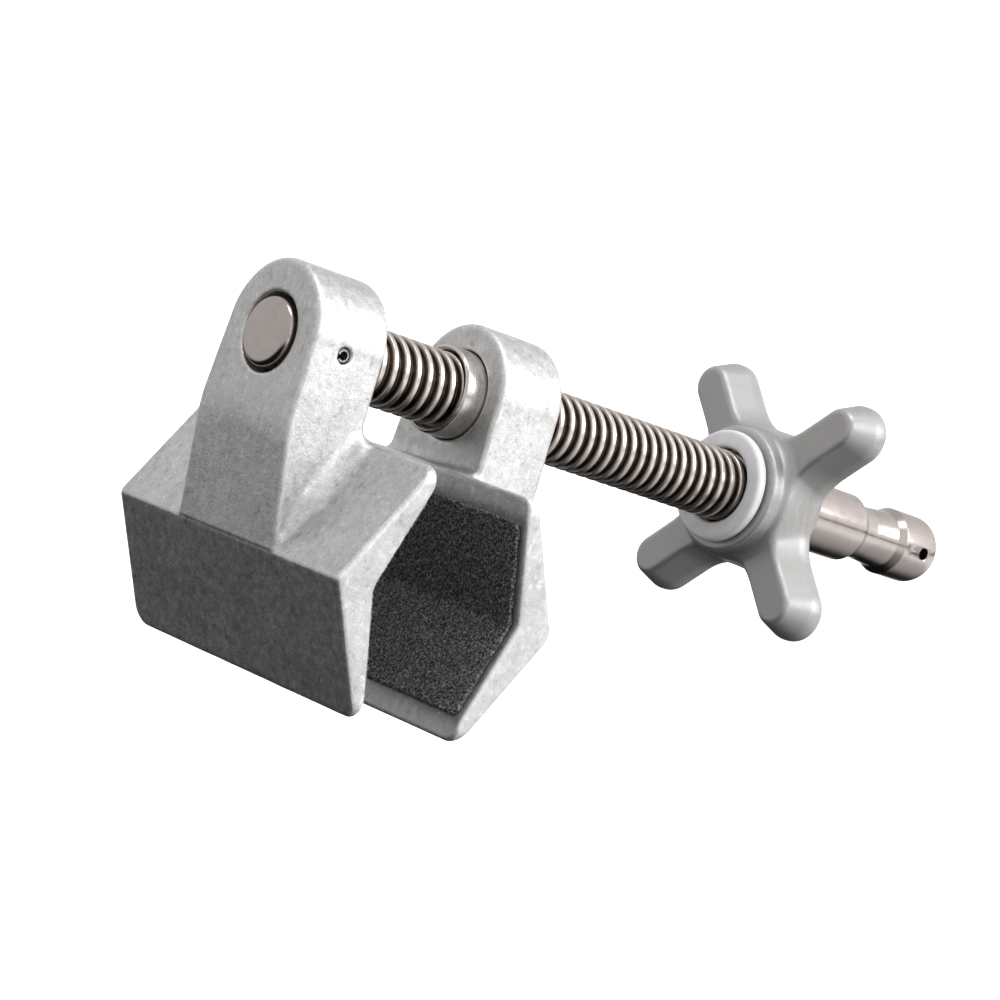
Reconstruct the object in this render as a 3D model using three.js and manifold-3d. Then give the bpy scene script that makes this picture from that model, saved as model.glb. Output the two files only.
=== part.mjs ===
// Centre-jaw screw clamp for studio grip work.
//
// One steel screw carries everything. Its plain front end is pinned in the fixed jaw, its middle
// is an Acme thread, and its far end is a 5/8 inch baby pin (spud). The moving jaw slides and
// swivels on the thread through a steel bushing. A four-armed star knob runs along the thread
// and pushes the moving jaw through a plastic washer.
//
// Millimetres. +X runs along the screw from the jaws to the spud, +Z from the jaws up to the
// screw. The origin is the centre of the spud's flat end.
import * as THREE from "three";
import { mergeVertices } from "three/addons/utils/BufferGeometryUtils.js";
import Module from "manifold-3d";

const wasm = await Module();
wasm.setup();

// ---- Driving dimensions. Places along X are measured from the fixed jaw's outer face. ----
const GAP = 0.3; // clearance between pieces that touch

const SCREW = {
  radius: 7.9375, // 5/8 inch
  length: 205.6,
  proud: 1.0, // how far the front end stands out of the fixed jaw
  neckRadius: 7.3, // turned-down front end
  neckEnd: 4,
  frontRound: 1.3,
  pitch: 3.175, // 5/8-8 Acme, right-handed
  threadDepth: 1.45,
  crestWidth: 1.18,
  flankWidth: 0.4,
  phaseTurn: 0.066, // turn of the thread's start about X
  threadStart: 20,
  threadEnd: 157,
  segmentsPerTurn: 12,
};

const SPUD = {
  shoulder: 175.2, // end of the first full-size length
  grooveStart: 178.2,
  grooveEnd: 181.5,
  grooveRadius: 6.2,
  coneEnd: 190.5, // the groove's floor rises to full size here
  coneRadius: 6.75,
  coneStart: 188.2,
  endRound: 5.6,
  safetyHoleAt: 196.8, // radial hole for a safety wire
  safetyHoleRadius: 1.4,
};

const JAW = {
  width: 76.2, // 3 inch
  ridgeZ: -40.4, // height of the V's middle below the screw axis
  halfHeight: 25.6, // from the V's middle to the lips' outer corners
  ridgeDepth: 5.0, // outer ridge, measured in from the ear's outer face
  lipOuterDepth: 19.8,
  lipDepth: 21.4, // innermost point of the lips
  valleyDepth: 14.6, // inner V's middle
  lipFlat: 4.2, // height of the lips' upright band
  endRound: 0.6, // rounding of the edges of the two end faces
};

const EAR = {
  halfWidth: 14.4,
  archZ: 1.0, // centre of the round top
  bendZ: -17, // below this the outer face slopes in to the ridge
  fixedThickness: 18.7,
  movingThickness: 17.3,
  edgeRound: 1.2,
};

const MOVING_FACE = 67.9; // moving jaw's outer face, which looks along +X

const PAD = { thickness: 1.3, endMargin: 1.6, lipMargin: 4.6 };

const ROLL_PIN = { at: 8.6, radius: 1.6, bore: 0.95, slot: 0.8, inset: 0.4 };

const BUSHING = { radius: 9.45, bore: 8.3, front: 45.3, bevel: 0.7 };

const WASHER = { front: 132.1, thickness: 2.7, radius: 12.7, bore: 8.5, bevel: 0.5 };

const KNOB = {
  armRadius: 36, // centre to arm tip
  armHalfWidth: 7,
  webFillet: 12,
  armFront: 139.9,
  armThickness: 11.4,
  armBevel: 3.2,
  hubRadius: 14.2,
  hubRearRadius: 12.4,
  hubRear: 154.5,
  arms: 4,
  firstArmDeg: 45,
};

const INSERT = { radius: 10.8, rear: 154 };

// ---- Finishes ----
const finish = (color, roughness, metalness) =>
  new THREE.MeshStandardMaterial({ color, roughness, metalness });
const castAluminium = finish(0xb9b9b8, 0.55, 0.9);
const gripRubber = finish(0x2c2c2e, 0.95, 0);
const darkNickel = finish(0x8a8078, 0.3, 1);
const polishedSteel = finish(0xc9c4bd, 0.2, 1);
const whitePlastic = finish(0xf1f1f4, 0.4, 0);
const silverPaint = finish(0x9c9c99, 0.42, 0.4);
const brass = finish(0xb08d4a, 0.35, 1);

// ---- Solids: three.js shapes, joined and cut as manifold solids ----
function toSolid(geometry) {
  const bare = geometry.index ? geometry.toNonIndexed() : geometry.clone();
  bare.deleteAttribute("normal");
  bare.deleteAttribute("uv");
  const merged = mergeVertices(bare, 1e-4);
  return new wasm.Manifold(new wasm.Mesh({
    numProp: 3,
    vertProperties: new Float32Array(merged.attributes.position.array),
    triVerts: new Uint32Array(merged.index.array),
  }));
}

function toGeometry(solid) {
  const mesh = solid.getMesh();
  const points = [];
  for (let i = 0; i < mesh.vertProperties.length; i += mesh.numProp) {
    points.push(...mesh.vertProperties.slice(i, i + 3));
  }
  const geometry = new THREE.BufferGeometry();
  geometry.setAttribute("position", new THREE.Float32BufferAttribute(points, 3));
  geometry.setIndex([...mesh.triVerts]);
  geometry.computeVertexNormals();
  return geometry;
}

const union = (...solids) => solids.reduce((sum, solid) => sum.add(solid));

// Solid of revolution about the X axis, from [x, radius] points.
function turned(profile, segments = 24) {
  const points = profile.map(([x, r]) => new THREE.Vector2(r, x));
  return toSolid(new THREE.LatheGeometry(points, segments).rotateZ(-Math.PI / 2));
}

const disc = (x0, x1, radius, segments = 24) =>
  turned([[x0, 0], [x0, radius], [x1, radius], [x1, 0]], segments);

// Ring about the X axis whose profile closes on itself.
const ring = (profile, segments = 24) => turned([...profile, profile[0]], segments);

// Round bar along Y.
function crossBar(x, radius, y0, y1, segments = 16) {
  const bar = new THREE.CylinderGeometry(radius, radius, y1 - y0, segments);
  return toSolid(bar.translate(x, (y0 + y1) / 2, 0));
}

// A shape drawn in (x, z), extruded along Y and centred on Y = 0.
function extrudeAlongY(shape, depth, bevel = 0) {
  const geometry = new THREE.ExtrudeGeometry(shape, {
    depth: depth - 2 * bevel,
    curveSegments: 4,
    bevelEnabled: bevel > 0,
    bevelThickness: bevel,
    bevelSize: bevel,
    bevelOffset: -bevel,
    bevelSegments: 2,
  });
  geometry.translate(0, 0, -(depth - 2 * bevel) / 2);
  return toSolid(geometry.rotateX(Math.PI / 2));
}

// A shape drawn in (y, z), extruded along X from x0 to x1.
function extrudeAlongX(shape, x0, x1, bevel = 0, bevelSegments = 2, curveSegments = 8) {
  const geometry = new THREE.ExtrudeGeometry(shape, {
    depth: x1 - x0 - 2 * bevel,
    curveSegments,
    bevelEnabled: bevel > 0,
    bevelThickness: bevel,
    bevelSize: bevel,
    bevelOffset: -bevel,
    bevelSegments,
  });
  geometry.translate(0, 0, x0 + bevel);
  const drawnToRow = new THREE.Matrix4().makeBasis(
    new THREE.Vector3(0, 1, 0),
    new THREE.Vector3(0, 0, 1),
    new THREE.Vector3(1, 0, 0),
  );
  return toSolid(geometry.applyMatrix4(drawnToRow));
}

// ---- Thread ----
// A single-start Acme helix as one closed body: each pitch has a crest, a flank, a root and a
// flank, every step of the turn adds one row of points, and a fan to the axis closes each end.
function threadSolid(start, end, clearance = 0) {
  const { pitch, radius, threadDepth, crestWidth, flankWidth, segmentsPerTurn } = SCREW;
  const crest = radius + clearance;
  const root = radius - threadDepth + clearance;
  const wider = clearance / 2;
  const section = [
    [-wider, crest],
    [crestWidth + wider, crest],
    [crestWidth + flankWidth + wider, root],
    [pitch - flankWidth - wider, root],
  ];
  const turns = Math.ceil((end - start) / pitch) + 3;
  const first = Math.floor(start / pitch) - 2;
  const steps = turns * segmentsPerTurn;
  const points = [];
  const place = (step, column) => {
    const angle = (step / segmentsPerTurn + SCREW.phaseTurn) * 2 * Math.PI;
    const [along, r] = section[column];
    const x = (first + step / segmentsPerTurn) * pitch + along;
    points.push(x, r * Math.cos(angle), r * Math.sin(angle));
    return points.length / 3 - 1;
  };
  const rows = [];
  for (let step = 0; step <= steps + segmentsPerTurn; step += 1) {
    const columns = step <= steps ? section.length : 1;
    rows.push(Array.from({ length: columns }, (_, column) => place(step, column)));
  }
  const edge = (step) => [...rows[step], rows[step + segmentsPerTurn][0]];
  const faces = [];
  for (let step = 0; step < steps; step += 1) {
    const near = edge(step);
    const far = edge(step + 1);
    for (let k = 0; k + 1 < near.length; k += 1) {
      faces.push(near[k], far[k], near[k + 1]);
      faces.push(near[k + 1], far[k], far[k + 1]);
    }
  }
  const closeEnd = (step, flip) => {
    const helix = rows.slice(step, step + segmentsPerTurn + 1).map((row) => row[0]);
    const loop = [...helix, ...rows[step].slice(1).reverse()];
    points.push((first + step / segmentsPerTurn + 0.5) * pitch, 0, 0);
    const centre = points.length / 3 - 1;
    loop.forEach((point, i) => {
      const next = loop[(i + 1) % loop.length];
      faces.push(centre, ...(flip ? [point, next] : [next, point]));
    });
  };
  closeEnd(0, false);
  closeEnd(steps, true);
  const thread = new wasm.Manifold(new wasm.Mesh({
    numProp: 3,
    vertProperties: new Float32Array(points),
    triVerts: new Uint32Array(faces),
  }));
  return thread.intersect(disc(start, end, crest + 1));
}

// ---- Screw with its spud ----
function screwShaft() {
  const { radius, proud, neckRadius, neckEnd, frontRound, length, threadStart, threadEnd } = SCREW;
  const tip = length - proud;
  const plainFront = turned([
    [-proud, 0],
    [-proud, neckRadius - frontRound],
    [-proud + frontRound * 0.3, neckRadius - frontRound * 0.3],
    [-proud + frontRound, neckRadius],
    [neckEnd, neckRadius],
    [neckEnd + 0.5, radius],
    [threadStart + 0.5, radius],
    [threadStart + 0.5, 0],
  ]);
  const round = SPUD.endRound;
  const endArc = Array.from({ length: 6 }, (_, i) => {
    const angle = (i / 5) * Math.PI / 2;
    return [tip - round + round * Math.sin(angle), radius - round + round * Math.cos(angle)];
  });
  const spud = turned([
    [threadEnd - 0.5, 0],
    [threadEnd - 0.5, radius],
    [SPUD.shoulder, radius],
    [SPUD.grooveStart, SPUD.grooveRadius],
    [SPUD.grooveEnd, SPUD.grooveRadius],
    [SPUD.coneStart, SPUD.coneRadius],
    [SPUD.coneEnd, radius],
    ...endArc,
    [tip, 0],
  ]);
  const shaft = union(plainFront, threadSolid(threadStart, threadEnd), spud);
  const pinHole = crossBar(ROLL_PIN.at, ROLL_PIN.radius + GAP, -radius - 1, radius + 1);
  const safetyHole = crossBar(SPUD.safetyHoleAt, SPUD.safetyHoleRadius, -radius - 1, radius + 1);
  return shaft.subtract(pinHole).subtract(safetyHole);
}

// ---- Jaws ----
// Side profile of the V body in (depth, z), where depth is measured in from the outer face.
function jawProfile() {
  const { ridgeZ, halfHeight, ridgeDepth, lipOuterDepth, lipDepth, valleyDepth, lipFlat } = JAW;
  const lipRound = (lipDepth - lipOuterDepth) / 2;
  const top = ridgeZ + halfHeight;
  const bottom = ridgeZ - halfHeight;
  const shape = new THREE.Shape();
  shape.moveTo(ridgeDepth, ridgeZ);
  shape.lineTo(lipOuterDepth, top);
  shape.quadraticCurveTo(lipDepth - lipRound / 2, top + lipRound, lipDepth, top - lipRound);
  shape.lineTo(lipDepth - 0.2, top - lipRound - lipFlat);
  shape.lineTo(valleyDepth, ridgeZ);
  shape.lineTo(lipDepth - 0.2, bottom + lipRound + lipFlat);
  shape.lineTo(lipDepth, bottom + lipRound);
  shape.quadraticCurveTo(lipDepth - lipRound / 2, bottom - lipRound, lipOuterDepth, bottom);
  return shape;
}

// Ear outline in (y, z): parallel sides under a round top.
function earOutline() {
  const { halfWidth, archZ } = EAR;
  const shape = new THREE.Shape();
  shape.moveTo(halfWidth, JAW.ridgeZ);
  shape.lineTo(halfWidth, archZ);
  shape.absarc(0, archZ, halfWidth, 0, Math.PI, false);
  shape.lineTo(-halfWidth, JAW.ridgeZ);
  return shape;
}

// Side profile of the ear: upright above, and sloping in to the ridge below the bend.
function earProfile(thickness) {
  const shape = new THREE.Shape();
  shape.moveTo(0, EAR.bendZ);
  shape.lineTo(JAW.ridgeDepth, JAW.ridgeZ);
  shape.lineTo(JAW.valleyDepth - 1, JAW.ridgeZ);
  shape.lineTo(thickness, EAR.bendZ);
  shape.lineTo(thickness, EAR.archZ + EAR.halfWidth + 1);
  shape.lineTo(0, EAR.archZ + EAR.halfWidth + 1);
  return shape;
}

function jawBody(thickness, boreRadius) {
  const body = extrudeAlongY(jawProfile(), JAW.width, JAW.endRound);
  const earBlock = extrudeAlongX(earOutline(), 0, thickness, EAR.edgeRound);
  const ear = earBlock.intersect(extrudeAlongY(earProfile(thickness), 4 * EAR.halfWidth));
  return union(body, ear).subtract(disc(-1, thickness + 1, boreRadius));
}

function fixedJaw() {
  const jaw = jawBody(EAR.fixedThickness, SCREW.radius + GAP);
  const pinRadius = ROLL_PIN.radius + GAP;
  return jaw.subtract(crossBar(ROLL_PIN.at, pinRadius, -EAR.halfWidth - 1, EAR.halfWidth + 1));
}

const movingJaw = () => jawBody(EAR.movingThickness, BUSHING.radius + GAP);

// V-shaped grip sheet lying on the inner faces, clear of the lips and of the end faces.
function jawPad() {
  const { ridgeZ, halfHeight, valleyDepth, lipDepth, lipFlat } = JAW;
  const rise = halfHeight - lipFlat - (lipDepth - JAW.lipOuterDepth) / 2;
  const slope = Math.atan2(lipDepth - 0.2 - valleyDepth, rise);
  const reach = Math.hypot(lipDepth - 0.2 - valleyDepth, rise) - PAD.lipMargin + lipFlat;
  const at = (side, along, off) => new THREE.Vector2(
    valleyDepth + along * Math.sin(slope) + off * Math.cos(slope),
    ridgeZ + side * (along * Math.cos(slope) - off * Math.sin(slope)),
  );
  const middle = (off) => new THREE.Vector2(valleyDepth + off / Math.cos(slope), ridgeZ);
  const outline = [
    at(1, reach, GAP),
    middle(GAP),
    at(-1, reach, GAP),
    at(-1, reach, GAP + PAD.thickness),
    middle(GAP + PAD.thickness),
    at(1, reach, GAP + PAD.thickness),
  ];
  return extrudeAlongY(new THREE.Shape(outline), JAW.width - 2 * PAD.endMargin);
}

// Slotted spring pin, driven across the ear and the screw.
function rollPin() {
  const { at, radius, bore, slot, inset } = ROLL_PIN;
  const half = EAR.halfWidth - inset;
  const tube = crossBar(at, radius, -half, half).subtract(crossBar(at, bore, -half - 1, half + 1));
  const cutter = toSolid(new THREE.BoxGeometry(radius + 1, 2 * half + 2, slot)
    .translate(at - (radius + 1) / 2, 0, 0));
  return tube.subtract(cutter);
}

// Steel sleeve through the moving ear, its bevelled rim standing out towards the fixed jaw.
function bushing() {
  const { radius, bore, front, bevel } = BUSHING;
  return ring([
    [front, bore + bevel],
    [front, radius - bevel],
    [front + bevel, radius],
    [MOVING_FACE - bevel, radius],
    [MOVING_FACE, radius - bevel],
    [MOVING_FACE, bore],
    [front + bevel, bore],
  ]);
}

// ---- Washer and knob ----
function washer() {
  const { front, thickness, radius, bore, bevel } = WASHER;
  return ring([
    [front, bore],
    [front, radius - bevel],
    [front + bevel, radius],
    [front + thickness, radius],
    [front + thickness, bore],
  ]);
}

// Outline of the star in (y, z): round-ended arms joined by concave webs.
function starOutline() {
  const { arms, firstArmDeg, armRadius, armHalfWidth, webFillet } = KNOB;
  const step = (2 * Math.PI) / arms;
  const tipAt = armRadius - armHalfWidth;
  const webAt = (armHalfWidth + webFillet) / Math.sin(step / 2);
  const shape = new THREE.Shape();
  for (let k = 0; k < arms; k += 1) {
    const arm = THREE.MathUtils.degToRad(firstArmDeg) + k * step;
    const web = arm + step / 2;
    const quarter = Math.PI / 2;
    shape.absarc(tipAt * Math.cos(arm), tipAt * Math.sin(arm), armHalfWidth,
      arm - quarter, arm + quarter, false);
    shape.absarc(webAt * Math.cos(web), webAt * Math.sin(web), webFillet,
      arm - quarter, arm + step + quarter, true);
  }
  return shape;
}

function starKnob() {
  const { armFront, armThickness, armBevel, hubRadius, hubRearRadius, hubRear } = KNOB;
  const hubFront = WASHER.front + WASHER.thickness + GAP;
  const star = extrudeAlongX(starOutline(), armFront, armFront + armThickness, armBevel, 2, 5);
  const hub = turned([
    [hubFront, 0],
    [hubFront, hubRadius - 0.6],
    [hubFront + 0.6, hubRadius],
    [armFront + 2, hubRadius + 3],
    [armFront + armThickness - 2, hubRadius + 2],
    [hubRear - 1, hubRearRadius],
    [hubRear, hubRearRadius - 1],
    [hubRear, 0],
  ]);
  return union(hub, star).subtract(disc(hubFront - 1, hubRear + 1, INSERT.radius + GAP));
}

// Threaded insert held in the knob's bore.
function knobInsert() {
  const front = WASHER.front + WASHER.thickness + 2 * GAP;
  const blank = disc(front, INSERT.rear, INSERT.radius);
  return blank.subtract(threadSolid(front - 2, INSERT.rear + 2, GAP + 0.1));
}

// ---- Assembly ----
const clamp = new THREE.Group();
clamp.name = "centre_jaw_clamp";
clamp.position.x = SCREW.proud - SCREW.length; // puts the spud's flat end at the origin

function addPiece(parent, name, solid, material) {
  const mesh = new THREE.Mesh(toGeometry(solid), material);
  mesh.name = name;
  parent.add(mesh);
}

addPiece(clamp, "screw_shaft", screwShaft(), darkNickel);
addPiece(clamp, "fixed_jaw", fixedJaw(), castAluminium);
addPiece(clamp, "fixed_jaw_pad", jawPad(), gripRubber);
addPiece(clamp, "roll_pin", rollPin(), darkNickel);

// The moving jaw is the same casting turned half a turn about Z, so that it faces the fixed jaw.
const movingSide = new THREE.Group();
movingSide.position.x = MOVING_FACE;
movingSide.rotation.z = Math.PI;
clamp.add(movingSide);
addPiece(movingSide, "moving_jaw", movingJaw(), castAluminium);
addPiece(movingSide, "moving_jaw_pad", jawPad(), gripRubber);
addPiece(clamp, "moving_jaw_bushing", bushing(), polishedSteel);

addPiece(clamp, "knob_washer", washer(), whitePlastic);
addPiece(clamp, "star_knob", starKnob(), silverPaint);
addPiece(clamp, "knob_insert", knobInsert(), brass);

export default clamp;
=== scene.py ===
import math

import bpy
import numpy as np
import openvdb
from mathutils import Matrix, Vector


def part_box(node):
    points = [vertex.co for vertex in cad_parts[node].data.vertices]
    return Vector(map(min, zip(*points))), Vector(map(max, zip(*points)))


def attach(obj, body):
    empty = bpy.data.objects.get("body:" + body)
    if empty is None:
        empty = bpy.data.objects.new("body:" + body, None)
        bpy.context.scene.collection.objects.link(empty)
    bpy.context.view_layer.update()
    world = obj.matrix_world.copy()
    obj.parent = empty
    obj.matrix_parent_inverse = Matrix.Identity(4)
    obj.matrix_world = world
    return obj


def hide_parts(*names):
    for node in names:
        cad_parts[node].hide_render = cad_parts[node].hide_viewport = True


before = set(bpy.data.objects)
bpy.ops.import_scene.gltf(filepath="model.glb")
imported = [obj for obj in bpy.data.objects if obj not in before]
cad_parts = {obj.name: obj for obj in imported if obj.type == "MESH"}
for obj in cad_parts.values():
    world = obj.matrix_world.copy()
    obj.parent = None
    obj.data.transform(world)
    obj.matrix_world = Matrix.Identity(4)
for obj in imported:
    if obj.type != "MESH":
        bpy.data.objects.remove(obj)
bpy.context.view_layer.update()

# Looks for the centre-jaw screw clamp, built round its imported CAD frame.
#
# Castings are signed distance fields in millimetres, meshed on a fine grid, so that every
# fillet and worn edge is real geometry. Turned pieces are rings swept along X, and so is the
# screw with its thread. Lengths are in millimetres until mesh_object makes them metres.
MM = 0.001


def box_mm(node):
    """Lowest and highest corner of a CAD node, in millimetres."""
    low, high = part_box(node)
    return np.array(low) / MM, np.array(high) / MM


# ---- Sizes, in millimetres; X is the row frame's, and the screw's axis is Y = Z = 0 ----
SCREW_FRONT, SPUD_TIP = (corner[0] for corner in box_mm("screw_shaft"))
SCREW_RADIUS = 7.9375
FIXED_FACE = box_mm("fixed_jaw")[0][0]
MOVING_FACE = box_mm("moving_jaw")[1][0]
RIDGE_Z = -40.4
JAW_HALF_WIDTH = box_mm("fixed_jaw")[1][1]
JAW_HALF_HEIGHT = 25.6
EAR_HALF_WIDTH, EAR_ARCH_Z, EAR_BEND_Z = 14.4, 1.0, -17.0
EAR_FLARE = 0.055
FIXED_EAR, MOVING_EAR = 18.7, 17.3
FIXED_BORE, MOVING_BORE = 8.25, 9.62

# Depths in from a jaw's outer face. The inner faces run from the valley to the lip flat,
# which starts that far above and below the ridge.
RIDGE_DEPTH, LIP_OUTER_DEPTH, LIP_DEPTH, VALLEY_DEPTH = 5.0, 19.8, 21.4, 14.6
LIP_FLAT_START, LIP_FLAT_DEPTH = 20.6, 21.2

# Rounding radii of the castings, and the cosines between the normals of two of the corners.
FIXED_RIDGE_ROUND, MOVING_RIDGE_ROUND = 1.6, 4.0
VALLEY_ROUND, LIP_ROUND, RIM_ROUND, CORNER_ROUND, EDGE_ROUND = 4.0, 8.0, 0.7, 3.4, 0.9
EAR_BEND_ROUND, EAR_EDGE_ROUND, BORE_ROUND = 30.0, 1.3, 0.6
LIP_COSINE, RIM_COSINE = 0.952, -0.8

# Grip pads: how far past the inner faces the sheet starts and ends, and its grains' height.
PAD_BOTTOM, PAD_TOP = 0.12, 1.25
PAD_CORNER_ROUND, PAD_EDGE_ROUND, PAD_SECTION_ROUND = 1.6, 0.5, 0.35
GRAIN_SCALE, GRAIN_LIMIT = 0.045, 0.16

# The screw. Its places along X are measured from the fixed jaw's outer face.
PIN_AT, PIN_HOLE_RADIUS, EAR_HOLE_RADIUS = 8.6, 1.9, 1.75
NECK_END, NECK_RADIUS = 4.0, 7.3
THREAD_START, THREAD_END = 17.4, 157.0
PITCH, THREAD_PHASE, THREAD_DEPTH = 3.175, 0.12, 1.45
CREST_HALF_WIDTH, FLANK_WIDTH = 0.48, 0.5
SAFETY_HOLE_AT, SAFETY_HOLE_RADIUS = 196.8, 1.45
SPUD_END_ROUND = 5.8

# Star knob: the X of the arms' front, shoulder and rear, then sizes.
ARM_FRONT, ARM_SHOULDER, ARM_REAR = (FIXED_FACE + x for x in (139.9, 146.8, 151.3))
ARM_TIP, ARM_HALF_WIDTH, ARM_SLOPE, WEB_RADIUS = 36.0, 6.7, 2.5, 14.5
COLLAR_RADIUS, SHELF_RADIUS, BOSS_RADIUS, KNOB_BORE = 14.4, 15.4, 12.6, 11.1
KNOB_TURN = math.radians(2.0)

# Grid steps and the empty margin round each field.
JAW_STEP, PAD_STEP, KNOB_STEP = 0.36, 0.3, 0.32
MARGIN, PAD_MARGIN = 0.8, 0.6


# ---- Mesh making ----
def mesh_object(name, points, faces, smooth=True):
    """A mesh object from millimetre points in the row frame."""
    mesh = bpy.data.meshes.new(name)
    mesh.from_pydata((np.asarray(points) * MM).tolist(), [], [tuple(f) for f in faces])
    mesh.validate()
    mesh.update()
    if smooth:
        mesh.shade_smooth()
    made = bpy.data.objects.new(name, mesh)
    bpy.context.scene.collection.objects.link(made)
    return made


def field_grid(low, high, step):
    """Open coordinate arrays X, Y, Z of a regular grid."""
    axes = [np.arange(a, b + step, step, dtype=np.float32) for a, b in zip(low, high)]
    return np.meshgrid(*axes, indexing="ij", sparse=True)


def box_blur(field, reach):
    """Mean of each cell's neighbours within reach cells along every axis."""
    for axis in range(3):
        widths = [(reach + 1, reach) if k == axis else (0, 0) for k in range(3)]
        padded = np.pad(field, widths, "edge")
        total = np.cumsum(padded, axis, dtype=np.float64)
        ahead = np.take(total, range(2 * reach + 1, total.shape[axis]), axis)
        behind = np.take(total, range(0, total.shape[axis] - 2 * reach - 1), axis)
        field = ((ahead - behind) / (2 * reach + 1)).astype(np.float32)
    return field


def mesh_field(name, field, low, step, face=0.0, side=1):
    """Meshes the zero surface of a signed distance array, and stores how exposed each point is.

    The array starts at low. face is where its X = 0 lies, and side is -1 to turn it about Z.
    """
    clipped = np.clip(field, -3 * step, 3 * step).astype(np.float32)
    grid = openvdb.FloatGrid(background=3 * step)
    grid.copyFromArray(clipped)
    cells, _, quads = grid.convertToPolygons(0.0, 0.0)
    nearest = np.clip(np.round(cells).astype(int), 0, np.array(field.shape) - 1)
    here = np.clip(field / step, -2, 2)
    open_air = box_blur(here.astype(np.float32), round(0.9 / step))
    wear = (open_air - here)[tuple(nearest.T)].astype(np.float32)
    points = (np.array(low) + cells * step) * (side, side, 1) + (face, 0, 0)
    made = mesh_object(name, points, quads[:, ::-1])
    stored = made.data.attributes.new("wear", "FLOAT", "POINT")
    stored.data.foreach_set("value", wear)
    return made


def meet(a, b, radius, cosine=0.0):
    """Intersection with its edge rounded; cosine is that of the angle between the two normals."""
    p, q = a + radius, b + radius
    square = (p * p + q * q - 2 * cosine * p * q) / (1 - cosine * cosine)
    at_edge = (p > cosine * q) & (q > cosine * p)
    return np.where(at_edge, np.sqrt(np.maximum(square, 0)) - radius, np.maximum(a, b))


def join(a, b, radius, cosine=0.0):
    """Union with a round fillet."""
    return -meet(-a, -b, radius, cosine)


def ripple(X, Y, Z, length, depth, seed):
    """Gentle unevenness of a casting skin: a few slow waves in fixed directions."""
    dice = np.random.default_rng(seed)
    total = 0
    for _ in range(7):
        way = dice.normal(size=3)
        way *= 2 * math.pi / length / np.linalg.norm(way) * dice.uniform(0.6, 1.5)
        total = total + np.sin(X * way[0] + Y * way[1] + Z * way[2] + dice.uniform(0, 6.3))
    return total * depth / 7


def round_angles(turns):
    """Angles of one ring's points."""
    return np.arange(turns) * 2 * math.pi / turns


def lathe(name, profile, turns=96, closed=False):
    """Rings about X from (x, radius) pairs; a radius may be an array with one value per angle.

    A radius of 0 makes a pole, and closed joins the last ring to the first.
    """
    angles = round_angles(turns)
    points, rows = [], []
    for x, radius in profile:
        if np.ndim(radius) == 0 and radius < 1e-6:
            rows.append([len(points)] * turns)
            points.append((x, 0, 0))
            continue
        rows.append(list(range(len(points), len(points) + turns)))
        radius = np.broadcast_to(radius, (turns,))
        points.extend(zip([x] * turns, radius * np.cos(angles), radius * np.sin(angles)))
    faces = []
    pairs = list(zip(rows, rows[1:])) + ([(rows[-1], rows[0])] if closed else [])
    for near, far in pairs:
        for k in range(turns):
            m = (k + 1) % turns
            loop = [near[k], near[m], far[m], far[k]]
            faces.append([v for i, v in enumerate(loop) if v != loop[i - 1]])
    return mesh_object(name, points, faces)


def rounded(profile, radius, steps=5, closed=False):
    """Rounds each inner corner of a profile of (x, r) points with an arc of that radius."""
    points = [np.array(p, float) for p in profile]
    count = len(points)
    made = []
    for i, p in enumerate(points):
        if not closed and i in (0, count - 1):
            made.append(tuple(p))
            continue
        a, b = points[i - 1] - p, points[(i + 1) % count] - p
        la, lb = np.linalg.norm(a), np.linalg.norm(b)
        a, b = a / la, b / lb
        half = math.acos(max(-1, min(1, float(a @ b)))) / 2
        if half > math.pi / 2 - 0.02:
            made.append(tuple(p))
            continue
        cut = min(radius / math.tan(half), 0.45 * la, 0.45 * lb)
        start, end = p + a * cut, p + b * cut
        for t in np.linspace(0, 1, steps):
            made.append(tuple((1 - t) ** 2 * start + 2 * t * (1 - t) * p + t ** 2 * end))
    return made


# ---- Castings ----
def jaw_inner(U, Z):
    """Distance past the inner V faces; negative inside the casting."""
    deepening = LIP_FLAT_DEPTH - VALLEY_DEPTH
    rise = np.hypot(deepening, LIP_FLAT_START)
    run, up = LIP_FLAT_START / rise, deepening / rise
    upper = (U - VALLEY_DEPTH) * run - (Z - RIDGE_Z) * up
    lower = (U - VALLEY_DEPTH) * run + (Z - RIDGE_Z) * up
    return join(upper, lower, VALLEY_ROUND, 1 - 2 * up * up)


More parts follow.
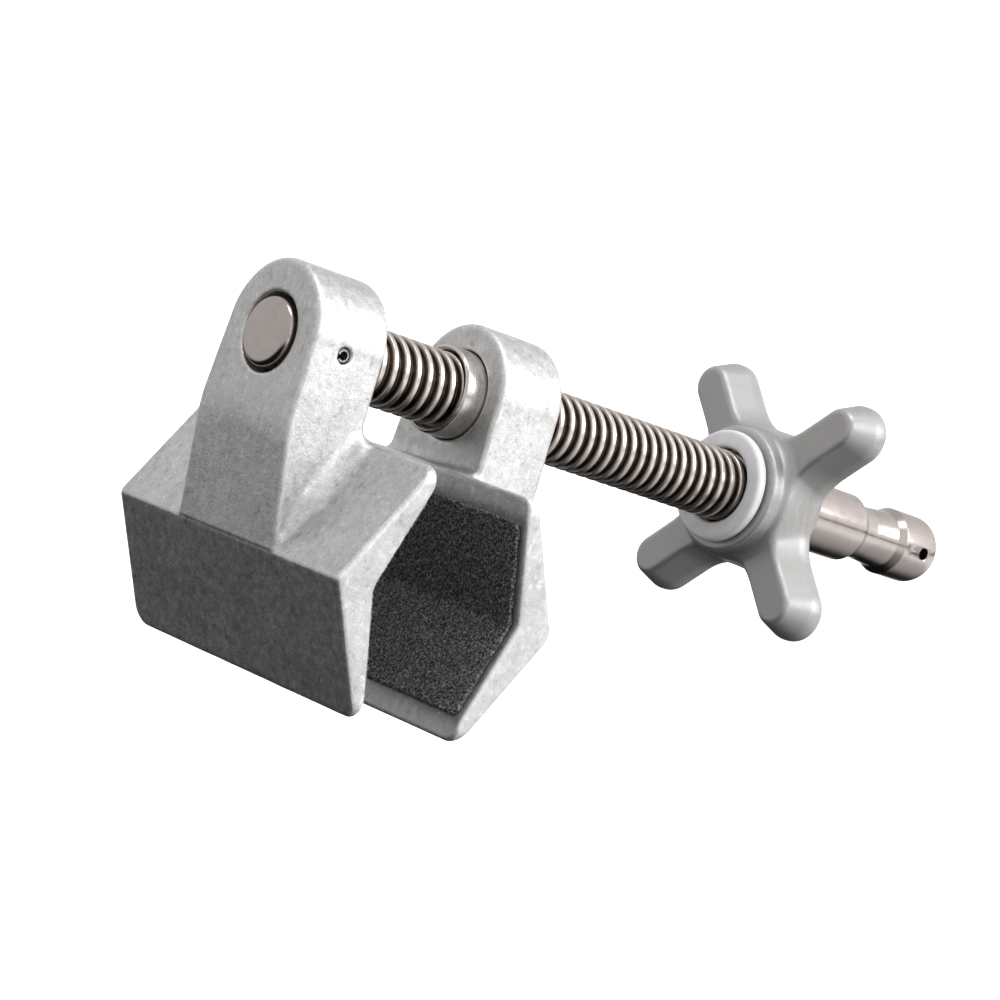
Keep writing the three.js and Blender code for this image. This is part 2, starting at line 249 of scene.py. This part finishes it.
def jaw_field(U, Y, Z, ear_thickness, bore, ridge_round, seed):
    """Signed distance of one jaw; U is depth in from its outer face."""
    height = Z - RIDGE_Z
    length = math.hypot(LIP_OUTER_DEPTH - RIDGE_DEPTH, JAW_HALF_HEIGHT)
    run = JAW_HALF_HEIGHT / length
    up = (LIP_OUTER_DEPTH - RIDGE_DEPTH) / length
    upper = (RIDGE_DEPTH - U) * run + height * up
    lower = (RIDGE_DEPTH - U) * run - height * up
    outer = meet(upper, lower, ridge_round, 1 - 2 * up * up)
    inner = meet(jaw_inner(U, Z), U - LIP_DEPTH, LIP_ROUND, LIP_COSINE)
    profile = meet(outer, inner, RIM_ROUND, RIM_COSINE)
    plan = meet(np.abs(height) - JAW_HALF_HEIGHT, np.abs(Y) - JAW_HALF_WIDTH, CORNER_ROUND)
    body = meet(profile, plan, EDGE_ROUND)

    below = np.maximum(EAR_ARCH_Z - Z, 0)
    arch = np.hypot(Y, np.maximum(Z - EAR_ARCH_Z, 0)) - EAR_HALF_WIDTH - EAR_FLARE * below
    drop = EAR_BEND_Z - RIDGE_Z
    slope = math.hypot(drop, RIDGE_DEPTH)
    front_slope = -(U * drop + (Z - EAR_BEND_Z) * RIDGE_DEPTH) / slope
    front = meet(-U, front_slope, EAR_BEND_ROUND, drop / slope)
    lean = ear_thickness - VALLEY_DEPTH + 1
    fall = math.hypot(drop, lean)
    back_slope = ((U - ear_thickness) * drop - (Z - EAR_BEND_Z) * lean) / fall
    back = meet(U - ear_thickness, back_slope, EAR_BEND_ROUND, drop / fall)
    ear = meet(meet(arch, front, EAR_EDGE_ROUND), back, EAR_EDGE_ROUND)
    ear = meet(ear, -height, 0.3)

    fillet = 0.3 + 4.2 * np.clip(height / 12, 0, 1)
    jaw = join(body, ear, fillet) + ripple(U, Y, Z, 11, 0.05, seed)
    return meet(jaw, bore - np.hypot(Y, Z), BORE_ROUND)


def cast_jaw(name, node, body, face, side, ear_thickness, bore, ridge_round, pin_hole, seed):
    """One jaw casting. side is 1 where depth runs along +X and -1 where it runs along -X."""
    low = (-MARGIN, -JAW_HALF_WIDTH - MARGIN, RIDGE_Z - JAW_HALF_HEIGHT - MARGIN)
    high = (LIP_DEPTH + MARGIN, JAW_HALF_WIDTH + MARGIN, EAR_ARCH_Z + EAR_HALF_WIDTH + MARGIN)
    U, Y, Z = field_grid(low, high, JAW_STEP)
    field = jaw_field(U, Y, Z, ear_thickness, bore, ridge_round, seed)
    if pin_hole:
        field = meet(field, EAR_HOLE_RADIUS - np.hypot(U - PIN_AT, Z), 0.2)
    made = mesh_field(name, field, low, JAW_STEP, face, side)
    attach(made, body)
    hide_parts(node)
    return made


def grip_pad(name, node, body, face, side, seed):
    """Granular sheet on a jaw's inner faces, its grains standing proud as real geometry."""
    low, high = box_mm(node)
    reach = (high[2] - low[2]) / 2
    half = high[1]
    low = (VALLEY_DEPTH - 1, -half - PAD_MARGIN, RIDGE_Z - reach - PAD_MARGIN)
    high = (LIP_DEPTH + 2.4, half + PAD_MARGIN, RIDGE_Z + reach + PAD_MARGIN)
    U, Y, Z = field_grid(low, high, PAD_STEP)
    inner = jaw_inner(U, Z)
    sheet = meet(PAD_BOTTOM - inner, inner - PAD_TOP, PAD_SECTION_ROUND)
    edge = meet(np.abs(Z - RIDGE_Z) - reach, np.abs(Y) - half, PAD_CORNER_ROUND)
    field = meet(sheet, edge, PAD_EDGE_ROUND)
    dice = np.random.default_rng(seed)
    grain = dice.normal(size=np.broadcast(U, Y, Z).shape).astype(np.float32)
    for axis in range(3):
        grain = grain + np.roll(grain, 1, axis)
    field = field + np.clip(grain * GRAIN_SCALE, -GRAIN_LIMIT, GRAIN_LIMIT)
    made = mesh_field(name, field, low, PAD_STEP, face, side)
    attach(made, body)
    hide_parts(node)
    return made


def star_knob():
    """Four-armed knob: capsule arms joined by round webs, sloping sides under a ridge."""
    low, high = box_mm("star_knob")
    front, rear = low[0], high[0]
    side = ARM_TIP + 1.5
    corner = (front - MARGIN, -side, -side)
    X, Y, Z = field_grid(corner, (rear + MARGIN, side, side), KNOB_STEP)

    def bar(degrees):
        a = math.radians(degrees) + KNOB_TURN
        along = Y * math.cos(a) + Z * math.sin(a)
        across = Z * math.cos(a) - Y * math.sin(a)
        beyond = np.maximum(np.abs(along) - (ARM_TIP - ARM_HALF_WIDTH), 0)
        return np.hypot(beyond, across) - ARM_HALF_WIDTH

    outline = join(bar(45), bar(135), WEB_RADIUS)
    depth = ARM_SHOULDER - ARM_FRONT
    run = math.hypot(depth, ARM_SLOPE)
    slope = (outline * depth + (ARM_SHOULDER - X) * ARM_SLOPE) / run
    arms = meet(outline, slope, 5.0, depth / run)
    arms = meet(arms, ARM_FRONT - X, 1.5, ARM_SLOPE / run)
    arms = meet(arms, X - ARM_REAR, 3.0)
    r = np.hypot(Y, Z)
    collar = meet(r - COLLAR_RADIUS, front - X, 0.9)
    collar = meet(collar, X - (ARM_REAR - 2), 1.0)
    boss = meet(meet(r - BOSS_RADIUS, X - rear, 1.4), ARM_FRONT - X, 1.0)
    shelf = meet(meet(r - SHELF_RADIUS, ARM_FRONT - 0.9 - X, 1.4), X - (ARM_REAR - 3), 1.0)
    knob = join(join(join(arms, shelf, 2.0), collar, 1.2), boss, 3.0)
    knob = meet(knob, KNOB_BORE - r, 0.4) + ripple(X, Y, Z, 14, 0.04, 5)
    made = mesh_field("painted_star_knob", knob, corner, KNOB_STEP)
    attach(made, "knob")
    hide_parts("star_knob")
    return made


# ---- Screw ----
def thread_radius(x, angle, flare=0.0):
    """Radius of the Acme thread at x (measured from the fixed jaw's face) and angle about X."""
    turn = x / PITCH - angle / (2 * math.pi) - THREAD_PHASE
    off = np.abs(turn - np.round(turn)) * PITCH
    flank = np.clip((off - CREST_HALF_WIDTH) / FLANK_WIDTH, 0, 1)
    smooth = flank * flank * (3 - 2 * flank)
    return SCREW_RADIUS + flare - THREAD_DEPTH * smooth


def screw():
    """The whole screw: pinned front end, thread, and grooved spud with its safety hole."""
    proud = FIXED_FACE - SCREW_FRONT
    tip = SPUD_TIP - FIXED_FACE
    r = SCREW_RADIUS
    turns = 128
    angles = round_angles(turns)
    profile = rounded([(-proud, 0), (-proud, NECK_RADIUS), (NECK_END, NECK_RADIUS)], 1.5, 8)
    profile += [(NECK_END + 0.5, r), (THREAD_START - 0.6, r)]
    fade_in, fade_out = 1.2, 1.6
    for x in np.arange(THREAD_START, THREAD_END, PITCH / 26):
        fade = min(1, (x - THREAD_START) / fade_in, (THREAD_END - x) / fade_out)
        profile.append((x, r - fade * (r - thread_radius(x, angles))))
    groove = [(THREAD_END + 1.0, r), (175.3, r), (178.0, 6.25), (181.5, 6.2), (188.4, 6.75),
              (190.4, r), (195, r)]
    profile += rounded(groove, 0.9, 6)[:-1]
    for a in np.linspace(0, math.pi / 2, 14):
        profile.append((tip - SPUD_END_ROUND + SPUD_END_ROUND * math.sin(a),
                        r - SPUD_END_ROUND + SPUD_END_ROUND * math.cos(a)))
    profile.append((tip, 0))
    made = lathe("screw_and_spud", [(FIXED_FACE + x, radius) for x, radius in profile], turns)
    drill(made, FIXED_FACE + SAFETY_HOLE_AT, SAFETY_HOLE_RADIUS)
    drill(made, FIXED_FACE + PIN_AT, PIN_HOLE_RADIUS)
    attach(made, "screw_and_fixed_jaw")
    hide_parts("screw_shaft")
    return made


def drill(made, x, radius):
    """Drills a hole along Y through a piece on the screw's axis."""
    points, faces = [], []
    sides = 40
    for y in (-12, 12):
        for k in range(sides):
            a = 2 * math.pi * k / sides
            points.append((x + radius * math.cos(a), y, radius * math.sin(a)))
    faces.append(list(range(sides)))
    faces.append(list(range(2 * sides - 1, sides - 1, -1)))
    for k in range(sides):
        m = (k + 1) % sides
        faces.append([k, k + sides, m + sides, m])
    cutter = mesh_object("drill_bit", points, faces, smooth=False)
    cut = made.modifiers.new("drill", "BOOLEAN")
    cut.operation = "DIFFERENCE"
    cut.object = cutter
    cut.solver = "EXACT"
    bpy.context.view_layer.update()
    evaluated = made.evaluated_get(bpy.context.evaluated_depsgraph_get())
    mesh = bpy.data.meshes.new_from_object(evaluated)
    made.modifiers.clear()
    made.data = mesh
    bpy.data.objects.remove(cutter)


# ---- Turned and bent small pieces ----
def turned_ring(name, node, body, profile, radius):
    """A ring about X whose profile corners are rounded to that radius."""
    made = lathe(name, rounded(profile, radius, 6, closed=True), 128, closed=True)
    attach(made, body)
    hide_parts(node)
    return made


def bushing():
    low, high = box_mm("moving_jaw_bushing")
    front, rear, r = low[0], high[0], high[1]
    bore = 8.3
    profile = [(front, bore + 0.5), (front, r - 0.5), (front + 0.5, r), (rear - 0.4, r),
               (rear, r - 0.4), (rear, bore), (front + 0.5, bore)]
    return turned_ring("steel_bushing", "moving_jaw_bushing", "bushing",
                       profile, 0.3)


def washer():
    low, high = box_mm("knob_washer")
    front, rear, r = low[0], high[0], high[1]
    profile = [(front, 8.5), (front, r), (rear, r), (rear, 8.5)]
    return turned_ring("plastic_washer", "knob_washer", "washer",
                       profile, 1.1)


def insert():
    """Threaded insert: the screw's thread with a little clearance, in a bevelled sleeve."""
    low, high = box_mm("knob_insert")
    front, rear, r = low[0], high[0], high[1]
    turns = 96
    angles = round_angles(turns)
    inner = [(x, thread_radius(x - FIXED_FACE, angles, 0.35))
             for x in np.arange(front + 0.4, rear - 0.3, PITCH / 14)]
    outer = [(rear, 8.9), (rear, r - 0.4), (rear - 0.4, r), (front + 0.4, r), (front, r - 0.4),
             (front, 8.9)]
    made = lathe("brass_insert", inner + outer, turns, closed=True)
    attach(made, "knob")
    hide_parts("knob_insert")
    return made


def roll_pin():
    """Rolled spring pin: a C-shaped section swept across the ear, with bevelled ends."""
    low, high = box_mm("roll_pin")
    x0 = (low[0] + high[0]) / 2
    half = high[1]
    outer, inner = 1.6, 0.95
    half_gap, gap_towards = math.radians(24), math.radians(200)
    arc = np.linspace(half_gap, 2 * math.pi - half_gap, 40) + gap_towards
    bevel, bevel_length = 0.35, 0.5
    stations = [(-half, outer - bevel), (-half + bevel_length, outer),
                (half - bevel_length, outer), (half, outer - bevel)]
    points, faces = [], []
    ring = 2 * len(arc)
    for y, r in stations:
        points += [(x0 + r * math.cos(a), y, r * math.sin(a)) for a in arc]
        points += [(x0 + inner * math.cos(a), y, inner * math.sin(a)) for a in arc[::-1]]
    for s in range(len(stations) - 1):
        for k in range(ring):
            m = (k + 1) % ring
            faces.append([s * ring + k, (s + 1) * ring + k, (s + 1) * ring + m, s * ring + m])
    for k in range(len(arc) - 1):
        first, last = k, ring - 1 - k
        faces.append([first, first + 1, last - 1, last])
        base = (len(stations) - 1) * ring
        faces.append([base + last, base + last - 1, base + first + 1, base + first])
    made = mesh_object("spring_roll_pin", points, faces, smooth=False)
    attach(made, "screw_and_fixed_jaw")
    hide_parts("roll_pin")
    return made


# ---- Materials ----
def maths(tree, operation, a, b=0.0):
    """A Math node whose inputs are numbers or other nodes' outputs."""
    node = tree.nodes.new("ShaderNodeMath")
    node.operation = operation
    for socket, value in zip(node.inputs, (a, b)):
        if isinstance(value, (int, float)):
            socket.default_value = value
        else:
            tree.links.new(value, socket)
    return node.outputs[0]


class Shader:
    """A small helper round one node material."""

    def __init__(self, name):
        self.material = bpy.data.materials.new(name)
        self.material.use_nodes = True
        self.tree = self.material.node_tree
        self.nodes, self.links = self.tree.nodes, self.tree.links
        self.bsdf = self.nodes["Principled BSDF"]
        place = self.nodes.new("ShaderNodeTexCoord")
        self.place = place.outputs["Object"]

    def set(self, **values):
        for name, value in values.items():
            self.bsdf.inputs[name.replace("_", " ")].default_value = value

    def noise(self, scale, detail=3.0, rough=0.55, stretch=None):
        """Noise of roughly that many lumps to the metre."""
        node = self.nodes.new("ShaderNodeTexNoise")
        node.inputs["Scale"].default_value = scale
        node.inputs["Detail"].default_value = detail
        node.inputs["Roughness"].default_value = rough
        source = self.place
        if stretch:
            mapping = self.nodes.new("ShaderNodeMapping")
            mapping.inputs["Scale"].default_value = stretch
            self.links.new(self.place, mapping.inputs["Vector"])
            source = mapping.outputs["Vector"]
        self.links.new(source, node.inputs["Vector"])
        return node.outputs["Fac"]

    def spread(self, value, low, high, from_low=0.35, from_high=0.65):
        """Maps a 0..1 value onto low..high."""
        node = self.nodes.new("ShaderNodeMapRange")
        node.inputs["From Min"].default_value = from_low
        node.inputs["From Max"].default_value = from_high
        node.inputs["To Min"].default_value = low
        node.inputs["To Max"].default_value = high
        self.links.new(value, node.inputs["Value"])
        return node.outputs["Result"]

    def ramp(self, value, stops):
        node = self.nodes.new("ShaderNodeValToRGB")
        elements = node.color_ramp.elements
        while len(elements) < len(stops):
            elements.new(0.5)
        for element, (at, color) in zip(elements, stops):
            element.position = at
            element.color = (*color, 1)
        self.links.new(value, node.inputs["Fac"])
        return node.outputs["Color"]

    def mix(self, factor, a, b):
        node = self.nodes.new("ShaderNodeMix")
        node.data_type = "RGBA"
        if isinstance(factor, (int, float)):
            node.inputs[0].default_value = factor
        else:
            self.links.new(factor, node.inputs[0])
        for socket, value in ((node.inputs[6], a), (node.inputs[7], b)):
            if isinstance(value, tuple):
                socket.default_value = (*value, 1)
            else:
                self.links.new(value, socket)
        return node.outputs[2]

    def worn_edges(self, low, high):
        """0 on flats and hollows, 1 on the most exposed edges, from the stored exposure."""
        node = self.nodes.new("ShaderNodeAttribute")
        node.attribute_name = "wear"
        return self.spread(node.outputs["Fac"], 0, 1, low, high)

    def maths(self, operation, a, b=0.0):
        return maths(self.tree, operation, a, b)

    def bump(self, value, distance, strength=1.0, under=None):
        node = self.nodes.new("ShaderNodeBump")
        node.inputs["Strength"].default_value = strength
        node.inputs["Distance"].default_value = distance
        self.links.new(value, node.inputs["Height"])
        if under is not None:
            self.links.new(under, node.inputs["Normal"])
        return node.outputs["Normal"]

    def feed(self, name, value):
        self.links.new(value, self.bsdf.inputs[name])


def grey(level, warm=0.0):
    """A grey, pushed towards red by warm or towards blue where that is negative."""
    return (level * (1 + warm), level, level * (1 - warm))


def cast_aluminium():
    """Raw casting, tumbled: mottled satin grey with fine scuffs and brighter worn edges."""
    s = Shader("tumbled_cast_aluminium")
    s.set(Metallic=0.85)
    cloud = s.noise(120, 5, 0.65)
    mottle = s.noise(620, 5, 0.65)
    fine = s.noise(2600, 3, 0.6)
    scuff = s.noise(430, 6, 0.78, stretch=(1, 1.5, 1))
    tone = s.ramp(cloud, [(0.34, grey(0.40, -0.02)), (0.64, grey(0.66))])
    tone = s.mix(0.5, tone, s.ramp(mottle, [(0.3, grey(0.36)), (0.68, grey(0.74))]))
    tone = s.mix(0.3, tone, s.ramp(fine, [(0.3, grey(0.36)), (0.7, grey(0.78))]))
    tone = s.mix(s.spread(scuff, 0, 0.7, 0.55, 0.66), tone, grey(0.82, -0.01))
    tone = s.mix(s.spread(scuff, 0.6, 0, 0.35, 0.43), tone, grey(0.25, -0.01))
    tone = s.mix(s.worn_edges(0.15, 0.7), tone, grey(0.86))
    s.feed("Base Color", tone)
    s.feed("Roughness", s.spread(mottle, 0.38, 0.5))
    skin = s.bump(fine, 0.00008, 0.6)
    s.feed("Normal", s.bump(mottle, 0.00018, 0.6, skin))
    return s.material


def grip_rubber():
    """Charcoal granular non-slip sheet."""
    s = Shader("granular_grip_rubber")
    s.set(Metallic=0.0)
    grain = s.noise(2300, 2, 0.5)
    cloud = s.noise(240, 3, 0.5)
    tone = s.ramp(grain, [(0.4, grey(0.005)), (0.5, grey(0.07, -0.02)),
                          (0.64, grey(0.26, -0.03))])
    tone = s.mix(s.spread(cloud, 0.0, 0.3), tone, grey(0.05, -0.03))
    s.feed("Base Color", tone)
    s.feed("Roughness", s.spread(grain, 0.75, 0.5))
    s.feed("Normal", s.bump(grain, 0.0003, 0.8))
    return s.material


def screw_steel():
    """Nickelled steel: bright spud, flat crests painted lighter than it as a painted highlight,
    and thread roots painted dark brownish as painted shade.
    """
    s = Shader("nickelled_screw_steel")
    s.set(Metallic=1.0)
    split = s.nodes.new("ShaderNodeSeparateXYZ")
    s.links.new(s.place, split.inputs[0])
    y, z = split.outputs["Y"], split.outputs["Z"]
    square = s.maths("ADD", s.maths("MULTIPLY", y, y), s.maths("MULTIPLY", z, z))
    # Radius splits the thread colour: painted shade, near-black brown, in the roots and a painted
    # highlight on the crests.
    root_radius, crest_radius = 0.0071, 0.0078
    height = s.spread(s.maths("SQRT", square), 0, 1, root_radius, crest_radius)
    first, last = FIXED_FACE + THREAD_START, FIXED_FACE + THREAD_END
    after = s.spread(split.outputs["X"], 0, 1, (first - 0.2) * MM, (first + 0.2) * MM)
    before = s.spread(split.outputs["X"], 1, 0, (last - 0.5) * MM, (last + 0.5) * MM)
    threaded = s.maths("MULTIPLY", after, before)
    stain = s.noise(420, 4, 0.6)
    streak = s.noise(240, 3, 0.6, stretch=(6, 1, 1))
    # Painted shade in the thread roots and a painted highlight on the crests, both lighter or
    # darker than the plain steel.
    root_painted_shade = s.ramp(stain, [(0.3, (0.055, 0.043, 0.034)), (0.7, (0.15, 0.122, 0.10))])
    crest_painted_highlight = s.ramp(streak, [(0.3, (0.50, 0.455, 0.42)), (0.7, (0.68, 0.63, 0.59))])
    thread = s.mix(height, root_painted_shade, crest_painted_highlight)
    plain = s.ramp(stain, [(0.3, (0.405, 0.365, 0.35)), (0.7, (0.45, 0.41, 0.395))])
    s.feed("Base Color", s.mix(threaded, plain, thread))
    rough = s.mix(threaded, grey(0.17), grey(0.32))
    s.feed("Roughness", s.mix(0.3, rough, s.ramp(stain, [(0.3, grey(0.14)), (0.7, grey(0.32))])))
    s.feed("Normal", s.bump(s.noise(900, 2, 0.5), 0.00001, 0.12))
    return s.material


def polished_steel():
    """Turned steel with fine lines round the axis."""
    s = Shader("turned_bushing_steel")
    s.set(Metallic=1.0)
    lines = s.noise(300, 3, 0.7, stretch=(40, 1, 1))
    s.feed("Base Color", s.ramp(lines, [(0.3, (0.50, 0.475, 0.45)), (0.7, (0.68, 0.65, 0.62))]))
    s.feed("Roughness", s.spread(lines, 0.16, 0.3))
    s.feed("Normal", s.bump(lines, 0.00002, 0.4))
    return s.material


def pin_steel():
    """Dull, slightly spotted spring steel."""
    s = Shader("spring_pin_steel")
    s.set(Metallic=1.0)
    spots = s.noise(1800, 3, 0.6)
    s.feed("Base Color", s.ramp(spots, [(0.3, grey(0.3)), (0.7, grey(0.5))]))
    s.feed("Roughness", s.spread(spots, 0.25, 0.45))
    return s.material


def white_plastic():
    """Moulded washer, faintly cloudy and satin."""
    s = Shader("white_washer_plastic")
    s.set(Metallic=0.0, IOR=1.5, Subsurface_Weight=0.12)
    s.bsdf.inputs["Subsurface Radius"].default_value = (0.002, 0.002, 0.0022)
    cloud = s.noise(300, 3, 0.5)
    s.feed("Base Color", s.ramp(cloud, [(0.3, (0.72, 0.72, 0.75)), (0.7, (0.80, 0.80, 0.83))]))
    s.feed("Roughness", s.spread(cloud, 0.32, 0.42))
    s.feed("Normal", s.bump(s.noise(900, 3, 0.5), 0.00003, 0.3))
    return s.material


def silver_paint():
    """Satin silver-grey enamel: metal flake, light orange peel, thin at the ridges."""
    s = Shader("satin_silver_paint")
    s.set(Metallic=0.55, Coat_Weight=0.25, Coat_Roughness=0.3)
    flake = s.noise(6000, 1, 0.5)
    cloud = s.noise(120, 3, 0.5)
    tone = s.ramp(flake, [(0.3, grey(0.32)), (0.7, grey(0.40))])
    tone = s.mix(0.4, tone, s.ramp(cloud, [(0.3, grey(0.33, 0.01)), (0.7, grey(0.39))]))
    tone = s.mix(s.worn_edges(0.1, 0.8), tone, grey(0.5))
    s.feed("Base Color", tone)
    s.feed("Roughness", s.spread(cloud, 0.40, 0.48))
    peel = s.bump(s.noise(700, 2, 0.5), 0.00005, 0.35)
    s.feed("Normal", s.bump(flake, 0.00002, 0.25, peel))
    return s.material


def insert_brass():
    """Brass with fine turning lines round the axis."""
    s = Shader("machined_insert_brass")
    s.set(Metallic=1.0)
    lines = s.noise(400, 3, 0.7, stretch=(20, 1, 1))
    s.feed("Base Color", s.ramp(lines, [(0.3, (0.42, 0.30, 0.12)), (0.7, (0.62, 0.47, 0.22))]))
    s.feed("Roughness", s.spread(lines, 0.25, 0.4))
    return s.material


# ---- Stage, light and camera ----
def camera():
    """Long lens, turned a little about its own axis."""
    data = bpy.data.cameras.new("camera")
    data.lens = 118.51
    data.sensor_width = 36
    made = bpy.data.objects.new("camera", data)
    bpy.context.scene.collection.objects.link(made)
    azimuth, elevation, roll = (math.radians(a) for a in (-41.88, 1.033, 18.45))
    forward = Vector((-math.sin(azimuth) * math.cos(elevation),
                      math.cos(azimuth) * math.cos(elevation), -math.sin(elevation)))
    level = forward.cross(Vector((0, 0, 1))).normalized()
    up = level.cross(forward)
    tilted = math.cos(roll) * up - math.sin(roll) * level
    side = forward.cross(tilted)
    turn = Matrix((side, tilted, -forward)).transposed().to_4x4()
    place = (-0.59657, -0.51743, -0.00543)
    made.matrix_world = Matrix.Translation(place) @ turn
    data.clip_start, data.clip_end = 0.05, 50
    bpy.context.scene.camera = made


def soft_box(name, at, aim, size, power):
    """A rectangular light that the camera doesn't see."""
    data = bpy.data.lights.new(name, "AREA")
    data.shape = "RECTANGLE"
    data.size, data.size_y = size
    data.energy = power
    made = bpy.data.objects.new(name, data)
    bpy.context.scene.collection.objects.link(made)
    made.location = at
    made.rotation_euler = (Vector(aim) - Vector(at)).to_track_quat("-Z", "Y").to_euler()
    made.visible_camera = False


def stage_material(name, strength):
    material = bpy.data.materials.new(name)
    material.use_nodes = True
    bsdf = material.node_tree.nodes["Principled BSDF"]
    bsdf.inputs["Base Color"].default_value = (0.8, 0.8, 0.8, 1)
    bsdf.inputs["Roughness"].default_value = 0.9
    bsdf.inputs["Emission Color"].default_value = (1, 1, 1, 1)
    bsdf.inputs["Emission Strength"].default_value = strength
    return material


def stage():
    """Pale floor and a round white backdrop that only the camera sees."""
    floor_z, floor_half, dome_radius = -260, 6000, 9000
    corners = ((-1, -1), (1, -1), (1, 1), (-1, 1))
    floor = mesh_object("floor", [(x * floor_half, y * floor_half, floor_z) for x, y in corners],
                        [(0, 1, 2, 3)], smooth=False)
    floor.data.materials.append(stage_material("pale_floor", 0.75))
    arc = [(-dome_radius * (math.cos(a) - 1), dome_radius * math.sin(a))
           for a in np.linspace(0.1, math.pi - 0.1, 24)]
    dome = lathe("backdrop", [(0, 0), *arc, (2 * dome_radius, 0)], 48)
    dome.location = (-9.1, 0, 0)
    dome.data.materials.append(stage_material("white_backdrop", 1.2))
    for piece in (floor, dome):
        piece.visible_diffuse = False
        piece.visible_glossy = False
        piece.visible_transmission = False
        piece.visible_shadow = False


def studio():
    """Light tent: bright to the right and above, dark underneath, with a dark slot at right."""
    world = bpy.data.worlds.new("studio")
    bpy.context.scene.world = world
    world.use_nodes = True
    tree = world.node_tree
    links = tree.links
    place = tree.nodes.new("ShaderNodeTexCoord").outputs["Generated"]
    split = tree.nodes.new("ShaderNodeSeparateXYZ")
    links.new(place, split.inputs[0])

    def remap(value, low, high, to_low, to_high):
        node = tree.nodes.new("ShaderNodeMapRange")
        node.interpolation_type = "SMOOTHSTEP"
        numbers = {"From Min": low, "From Max": high, "To Min": to_low, "To Max": to_high}
        for key, number in numbers.items():
            node.inputs[key].default_value = number
        links.new(value, node.inputs["Value"])
        return node.outputs["Result"]

    def combine(operation, a, b):
        return maths(tree, operation, a, b)

    def facing(way):
        node = tree.nodes.new("ShaderNodeVectorMath")
        node.operation = "DOT_PRODUCT"
        node.inputs[1].default_value = Vector(way).normalized()
        links.new(place, node.inputs[0])
        return node.outputs["Value"]

    z = split.outputs["Z"]
    height = remap(z, -0.44, -0.10, 0.01, 0.78)
    right = remap(facing((0.7, -0.72, 0.1)), 0.1, 0.85, 0.0, 0.6)
    right = combine("MULTIPLY", right, remap(z, -0.7, -0.1, 0.25, 1.0))
    under = remap(facing((0.6, -0.75, -0.35)), 0.45, 0.9, 0, 0.5)
    under = combine("MULTIPLY", under, remap(z, -0.3, 0.0, 1, 0))
    light = combine("ADD", combine("ADD", height, right), under)
    band = combine("MULTIPLY", remap(z, 0.02, 0.05, 0, 1), remap(z, 0.10, 0.13, 1, 0))
    band = combine("MULTIPLY", band, remap(facing((0.667, -0.744, 0.05)), 0.3, 0.6, 0, 1))
    shade = combine("SUBTRACT", 1.0, combine("MULTIPLY", band, 0.85))
    light = combine("MULTIPLY", light, shade)
    background = tree.nodes["Background"]
    links.new(light, background.inputs["Strength"])
    background.inputs["Color"].default_value = (1.0, 0.985, 0.975, 1)
    aim = (-0.12, 0, -0.01)
    soft_box("key_box", (0.55, -1.0, 0.75), aim, (0.9, 0.7), 10)
    soft_box("top_box", (-0.3, -0.2, 1.1), aim, (0.9, 0.4), 5)
    bpy.context.scene.view_settings.view_transform = "Standard"


# ---- The object ----
camera()
studio()
stage()

ALUMINIUM = cast_aluminium()
RUBBER = grip_rubber()
painted = [
    (cast_jaw("cast_fixed_jaw", "fixed_jaw", "screw_and_fixed_jaw", FIXED_FACE, 1,
              FIXED_EAR, FIXED_BORE, FIXED_RIDGE_ROUND, True, 1), ALUMINIUM),
    (cast_jaw("cast_moving_jaw", "moving_jaw", "moving_jaw", MOVING_FACE, -1,
              MOVING_EAR, MOVING_BORE, MOVING_RIDGE_ROUND, False, 2), ALUMINIUM),
    (grip_pad("fixed_grip_pad", "fixed_jaw_pad", "screw_and_fixed_jaw", FIXED_FACE, 1, 3), RUBBER),
    (grip_pad("moving_grip_pad", "moving_jaw_pad", "moving_jaw", MOVING_FACE, -1, 4), RUBBER),
    (screw(), screw_steel()),
    (roll_pin(), pin_steel()),
    (bushing(), polished_steel()),
    (washer(), white_plastic()),
    (star_knob(), silver_paint()),
    (insert(), insert_brass()),
]
for piece, material in painted:
    piece.data.materials.clear()
    piece.data.materials.append(material)
